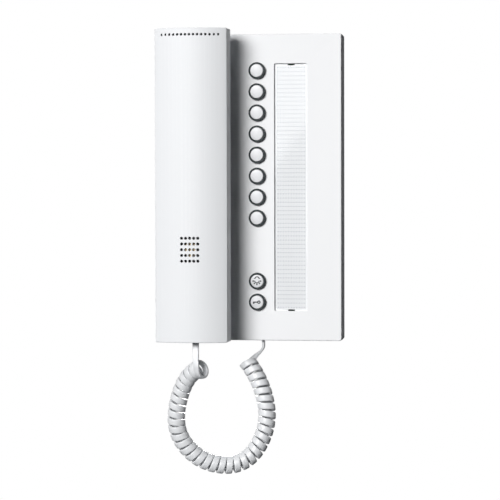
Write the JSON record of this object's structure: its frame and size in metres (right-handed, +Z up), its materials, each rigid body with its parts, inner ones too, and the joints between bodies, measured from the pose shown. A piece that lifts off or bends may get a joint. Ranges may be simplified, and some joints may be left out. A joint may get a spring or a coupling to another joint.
{
  "type": "audio intercom handset",
  "caption": "Wall-mounted audio intercom: white rectangular panel with push buttons and a name strip, and a lift-off handset on a curly cord.",
  "frame": {"origin": "centre of the four wall-screw holes, on the wall plane", "axes": "+X to the viewer's right, +Z up, +Y into the wall; the unit stands out towards -Y"},
  "size_m": [0.1284, 0.0592, 0.3167],
  "materials": {
    "housing_plastic": "fine satin",
    "handset_plastic": "fine satin",
    "button_plastic": "satin gloss",
    "collar_plastic": "satin",
    "clear_cover": "clear gloss",
    "card": "matte printed card",
    "cord_jacket": "soft satin",
    "plug_plastic": "satin",
    "switch_plastic": "matte",
    "terminal_plastic": "matte",
    "board_laminate": "satin laminate",
    "screw_steel": "zinc plated",
    "reed_glass": "clear",
    "soft_pad": "matte",
    "capsule_plastic": "matte",
    "capsule_metal": "satin",
    "magnet_metal": "plated"
  },
  "bodies": {
    "base": {"wall_plate": "housing_plastic", "base_housing": "housing_plastic", "button_collars": "collar_plastic", "circuit_board": "board_laminate", "board_screws": "screw_steel", "push_switches": "switch_plastic", "terminal_block": "terminal_plastic", "terminal_screws": "screw_steel", "reed_switch": "reed_glass", "name_strip": "card", "cradle_pads": "soft_pad", "base_cord_socket": "switch_plastic", "base_cord_plug": "plug_plastic", "cord_coil": "cord_jacket", "cord_base_lead": "cord_jacket"},
    "handset": {"handset_front_shell": "handset_plastic", "handset_rear_shell": "handset_plastic", "ear_capsule": "capsule_plastic", "ear_capsule_seal": "soft_pad", "microphone_capsule": "capsule_metal", "microphone_grommet": "soft_pad", "call_tone_sounder": "capsule_plastic", "handset_screws": "screw_steel", "hook_magnet": "magnet_metal", "handset_cord_socket": "switch_plastic", "handset_cord_plug": "plug_plastic", "cord_handset_lead": "cord_jacket"},
    "name_cover": {"name_strip_cover": "clear_cover"},
    "call_1_key": {"call_1_button": "button_plastic", "call_1_plunger": "switch_plastic"},
    "call_2_key": {"call_2_button": "button_plastic", "call_2_plunger": "switch_plastic"},
    "call_3_key": {"call_3_button": "button_plastic", "call_3_plunger": "switch_plastic"},
    "call_4_key": {"call_4_button": "button_plastic", "call_4_plunger": "switch_plastic"},
    "call_5_key": {"call_5_button": "button_plastic", "call_5_plunger": "switch_plastic"},
    "call_6_key": {"call_6_button": "button_plastic", "call_6_plunger": "switch_plastic"},
    "call_7_key": {"call_7_button": "button_plastic", "call_7_plunger": "switch_plastic"},
    "call_8_key": {"call_8_button": "button_plastic", "call_8_plunger": "switch_plastic"},
    "light_key": {"light_button": "button_plastic", "light_plunger": "switch_plastic"},
    "door_key": {"door_button": "button_plastic", "door_plunger": "switch_plastic"}
  },
  "joints": [
    {"name": "call_1_press", "type": "slide", "parent": "base", "child": "call_1_key", "axis": [0, 1, 0], "range_m": [0, 0.001], "stiffness_N_per_m": 1500, "springref_m": -0.0005},
    {"name": "call_2_press", "type": "slide", "parent": "base", "child": "call_2_key", "axis": [0, 1, 0], "range_m": [0, 0.001], "stiffness_N_per_m": 1500, "springref_m": -0.0005},
    {"name": "call_3_press", "type": "slide", "parent": "base", "child": "call_3_key", "axis": [0, 1, 0], "range_m": [0, 0.001], "stiffness_N_per_m": 1500, "springref_m": -0.0005},
    {"name": "call_4_press", "type": "slide", "parent": "base", "child": "call_4_key", "axis": [0, 1, 0], "range_m": [0, 0.001], "stiffness_N_per_m": 1500, "springref_m": -0.0005},
    {"name": "call_5_press", "type": "slide", "parent": "base", "child": "call_5_key", "axis": [0, 1, 0], "range_m": [0, 0.001], "stiffness_N_per_m": 1500, "springref_m": -0.0005},
    {"name": "call_6_press", "type": "slide", "parent": "base", "child": "call_6_key", "axis": [0, 1, 0], "range_m": [0, 0.001], "stiffness_N_per_m": 1500, "springref_m": -0.0005},
    {"name": "call_7_press", "type": "slide", "parent": "base", "child": "call_7_key", "axis": [0, 1, 0], "range_m": [0, 0.001], "stiffness_N_per_m": 1500, "springref_m": -0.0005},
    {"name": "call_8_press", "type": "slide", "parent": "base", "child": "call_8_key", "axis": [0, 1, 0], "range_m": [0, 0.001], "stiffness_N_per_m": 1500, "springref_m": -0.0005},
    {"name": "light_press", "type": "slide", "parent": "base", "child": "light_key", "axis": [0, 1, 0], "range_m": [0, 0.001], "stiffness_N_per_m": 1500, "springref_m": -0.0005},
    {"name": "door_press", "type": "slide", "parent": "base", "child": "door_key", "axis": [0, 1, 0], "range_m": [0, 0.001], "stiffness_N_per_m": 1500, "springref_m": -0.0005},
    {"name": "handset_lift", "type": "slide", "parent": "base", "child": "handset", "axis": [0, -0.9781, 0.2079], "range_m": [0, 0.04]},
    {"name": "name_cover_pull", "type": "slide", "parent": "base", "child": "name_cover", "axis": [0, -1, 0], "range_m": [0, 0.012]}
  ]
}
